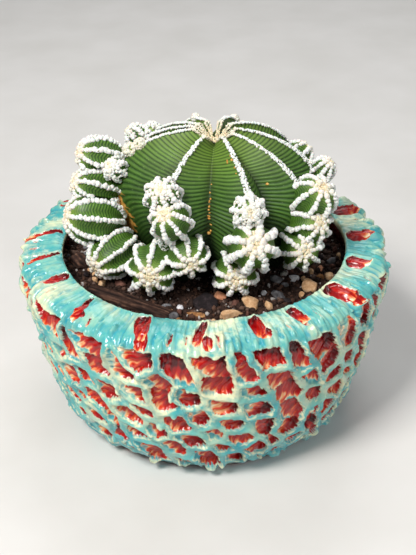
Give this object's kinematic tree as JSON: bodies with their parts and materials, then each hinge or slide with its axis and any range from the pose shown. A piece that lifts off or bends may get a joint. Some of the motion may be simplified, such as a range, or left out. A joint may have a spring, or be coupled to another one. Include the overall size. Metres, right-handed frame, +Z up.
{
  "type": "potted round cactus",
  "caption": "Round ribbed cactus with woolly rib edges and clustered pups, in stony soil inside a thick carved and glazed ceramic bowl.",
  "frame": {"origin": "centre of the bowl's flat underside, on the surface it stands on", "axes": "+Z up out of the bowl, -Y towards the front of the plant, +X to its right"},
  "size_m": [0.1646, 0.1646, 0.1318],
  "materials": {
    "glaze": "glossy turquoise glaze over carved clay, pale cream on edges and deep red in the carved hollows",
    "soil": "damp dark potting mix",
    "stem": "waxy green skin with fine cross ridges and white wool along the ribs",
    "pup": "waxy green skin with rows of white wool beads",
    "bark": "rough dark bark",
    "charcoal": "dull charcoal",
    "wood": "raw chipped wood",
    "tan": "dry tan gravel",
    "peach": "dry reddish gravel",
    "brown": "brown gravel",
    "grey": "grey gravel",
    "perlite": "chalky white perlite",
    "wool": "matt white wool in small tufts along the ribs, cream at the growing tips"
  },
  "bodies": {
    "root": {"ceramic_pot": "glaze", "potting_mix": "soil", "cactus_stem": "stem", "pup_front_left_1": "pup", "pup_front_left_2": "pup", "pup_front_left_3": "pup", "pup_front_left_4": "pup", "pup_front_1": "pup", "pup_front_2": "pup", "pup_front_3": "pup", "pup_right_1": "pup", "pup_right_2": "pup", "pup_right_3": "pup", "pup_right_4": "pup", "pup_left_1": "pup", "pup_left_2": "pup", "pup_left_3": "pup", "pup_left_4": "pup", "pup_left_5": "pup", "pup_left_6": "pup", "pup_back_right_1": "pup", "pup_back_right_2": "pup", "pup_back_1": "pup", "pup_back_2": "pup", "pup_back_3": "pup", "pup_back_left_1": "pup", "pup_back_left_2": "pup", "pup_back_left_3": "pup", "bark_chunk_left": "bark", "bark_chunk_right": "bark", "bark_chunk_back": "bark", "charcoal_chunk": "charcoal", "wood_chip_front": "wood", "stone_tan_large": "tan", "stone_tan_front": "tan", "stone_tan_slim": "tan", "stone_tan_right": "tan", "stone_tan_bead": "tan", "stone_tan_left_1": "tan", "stone_tan_left_2": "tan", "stone_peach": "peach", "stone_brown_front": "brown", "stone_brown_left": "brown", "stone_brown_right": "brown", "stone_orange_right": "peach", "stone_grey_1": "grey", "stone_grey_2": "grey", "stone_grey_right": "grey", "stone_grey_back": "grey", "stone_brown_back": "brown", "perlite_right": "perlite", "perlite_front": "perlite", "perlite_left": "perlite", "perlite_front_left": "perlite", "perlite_back": "perlite", "bark_strip": "bark"}
  },
  "joints": []
}
